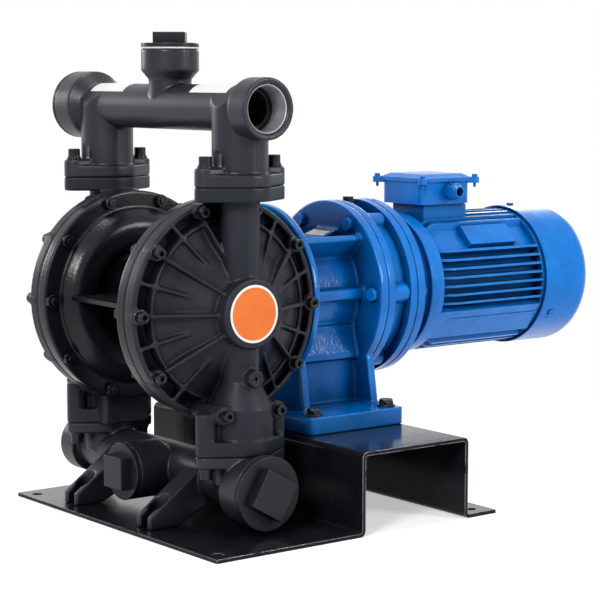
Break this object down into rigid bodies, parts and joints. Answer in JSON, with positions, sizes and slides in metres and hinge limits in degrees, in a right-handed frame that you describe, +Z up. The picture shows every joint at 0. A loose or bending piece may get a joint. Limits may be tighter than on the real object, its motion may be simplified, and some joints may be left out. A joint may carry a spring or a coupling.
{
  "type": "electric diaphragm pump",
  "caption": "Electric double-diaphragm pump: two round chambers with ball valves and manifolds, driven by a foot-mounted cycloidal gearmotor on a bent steel base plate.",
  "frame": {"origin": "on the underside of the base plate, straight below the crossing of the drive axis and the diaphragm axis", "axes": "+X along the drive axis from the pump to the motor, +Y along the diaphragm axis to the far chamber, +Z up"},
  "size_m": [0.821, 0.512, 0.6274],
  "materials": {
    "pump_casting": "satin charcoal coat over cast metal",
    "inner_casting": "semi-gloss black coat over cast metal",
    "base_steel": "satin dark grey paint",
    "blue_cast": "glossy blue enamel over rough casting",
    "blue_sheet": "glossy blue enamel over pressed sheet",
    "black_bolts": "black oxide with worn edges",
    "small_screws": "zinc plated",
    "soft_black": "matt black rubber",
    "white_gasket": "white sealing ring",
    "steel_parts": "machined steel",
    "bronze": "sintered bronze",
    "valve_plastic": "white fluoroplastic",
    "plug_steel": "blackened steel",
    "label_white": "white film",
    "label_orange": "orange film with a white ring",
    "plate_metal": "etched sheet",
    "laminations": "stacked sheet",
    "copper": "enamelled copper wire",
    "fan_plastic": "black moulding",
    "board_plastic": "black moulding"
  },
  "bodies": {
    "pump": {"adapter_plate": "blue_cast", "ball_bearings": "steel_parts", "base_plate": "base_steel", "cable_fittings": "plug_steel", "casing_screws": "black_bolts", "coupling_bolts": "black_bolts", "crankcase": "inner_casting", "diaphragm_far": "soft_black", "diaphragm_near": "soft_black", "discharge_manifold": "pump_casting", "discharge_plugs": "pump_casting", "drain_plugs": "plug_steel", "drive_end_shield": "blue_cast", "fan_cover": "blue_sheet", "foot_bolts": "black_bolts", "inner_casing_far": "inner_casting", "inner_casing_near": "inner_casting", "manifold_bolts": "black_bolts", "manifold_labels": "label_white", "motor_frame": "blue_cast", "motor_screws": "small_screws", "nameplate": "plate_metal", "oil_plug": "plug_steel", "outer_cover_far": "pump_casting", "outer_cover_near": "pump_casting", "pin_housing": "blue_cast", "rear_end_shield": "blue_cast", "reducer_housing": "blue_cast", "rim_bolts": "black_bolts", "rim_nuts": "black_bolts", "ring_pins": "steel_parts", "rod_bushes": "bronze", "round_badges": "label_orange", "rubber_seals": "soft_black", "stator_core": "laminations", "stator_windings": "copper", "suction_manifold": "pump_casting", "suction_plugs": "pump_casting", "terminal_board": "board_plastic", "terminal_box": "blue_cast", "terminal_box_lid": "blue_cast", "through_bolts": "black_bolts", "top_gasket": "white_gasket", "valve_seats": "valve_plastic"},
    "rotor": {"motor_shaft": "steel_parts", "rotor": "laminations", "eccentric_sleeve": "steel_parts", "fan": "fan_plastic"},
    "output": {"output_shaft": "steel_parts", "eccentric": "steel_parts", "eccentric_bearing": "steel_parts"},
    "cycloid_front": {"cycloid_disc_front": "steel_parts"},
    "cycloid_rear": {"cycloid_disc_rear": "steel_parts"},
    "plunger": {"plunger": "steel_parts", "diaphragm_plates": "steel_parts", "rod_nuts": "black_bolts"},
    "discharge_ball_far": {"discharge_ball_far": "valve_plastic"},
    "discharge_ball_near": {"discharge_ball_near": "valve_plastic"},
    "suction_ball_far": {"suction_ball_far": "valve_plastic"},
    "suction_ball_near": {"suction_ball_near": "valve_plastic"}
  },
  "joints": [
    {"name": "rotor_spin", "type": "hinge", "parent": "pump", "child": "rotor", "pos_m": [0.45, 0, 0.279], "axis": [1, 0, 0], "continuous": true},
    {"name": "output_spin", "type": "hinge", "parent": "pump", "child": "output", "pos_m": [0.2, 0, 0.279], "axis": [1, 0, 0], "continuous": true},
    {"name": "cycloid_front_roll", "type": "hinge", "parent": "rotor", "child": "cycloid_front", "pos_m": [0.283, 0.002, 0.279], "axis": [1, 0, 0], "continuous": true},
    {"name": "cycloid_rear_roll", "type": "hinge", "parent": "rotor", "child": "cycloid_rear", "pos_m": [0.295, -0.002, 0.279], "axis": [1, 0, 0], "continuous": true},
    {"name": "plunger_slide", "type": "slide", "parent": "pump", "child": "plunger", "axis": [0, 1, 0], "range_m": [-0.006, 0.006], "deforming": ["diaphragm_far", "diaphragm_near"]},
    {"name": "discharge_ball_far_lift", "type": "slide", "parent": "pump", "child": "discharge_ball_far", "axis": [0, 0, 1], "range_m": [0, 0.01]},
    {"name": "discharge_ball_near_lift", "type": "slide", "parent": "pump", "child": "discharge_ball_near", "axis": [0, 0, 1], "range_m": [0, 0.01]},
    {"name": "suction_ball_far_lift", "type": "slide", "parent": "pump", "child": "suction_ball_far", "axis": [0, 0, 1], "range_m": [0, 0.01]},
    {"name": "suction_ball_near_lift", "type": "slide", "parent": "pump", "child": "suction_ball_near", "axis": [0, 0, 1], "range_m": [0, 0.01]}
  ],
  "couplings": [
    {"joint": "output_spin", "follows": "rotor_spin", "ratio": -0.058824},
    {"joint": "cycloid_front_roll", "follows": "rotor_spin", "ratio": -1.0588},
    {"joint": "cycloid_rear_roll", "follows": "rotor_spin", "ratio": -1.0588}
  ]
}
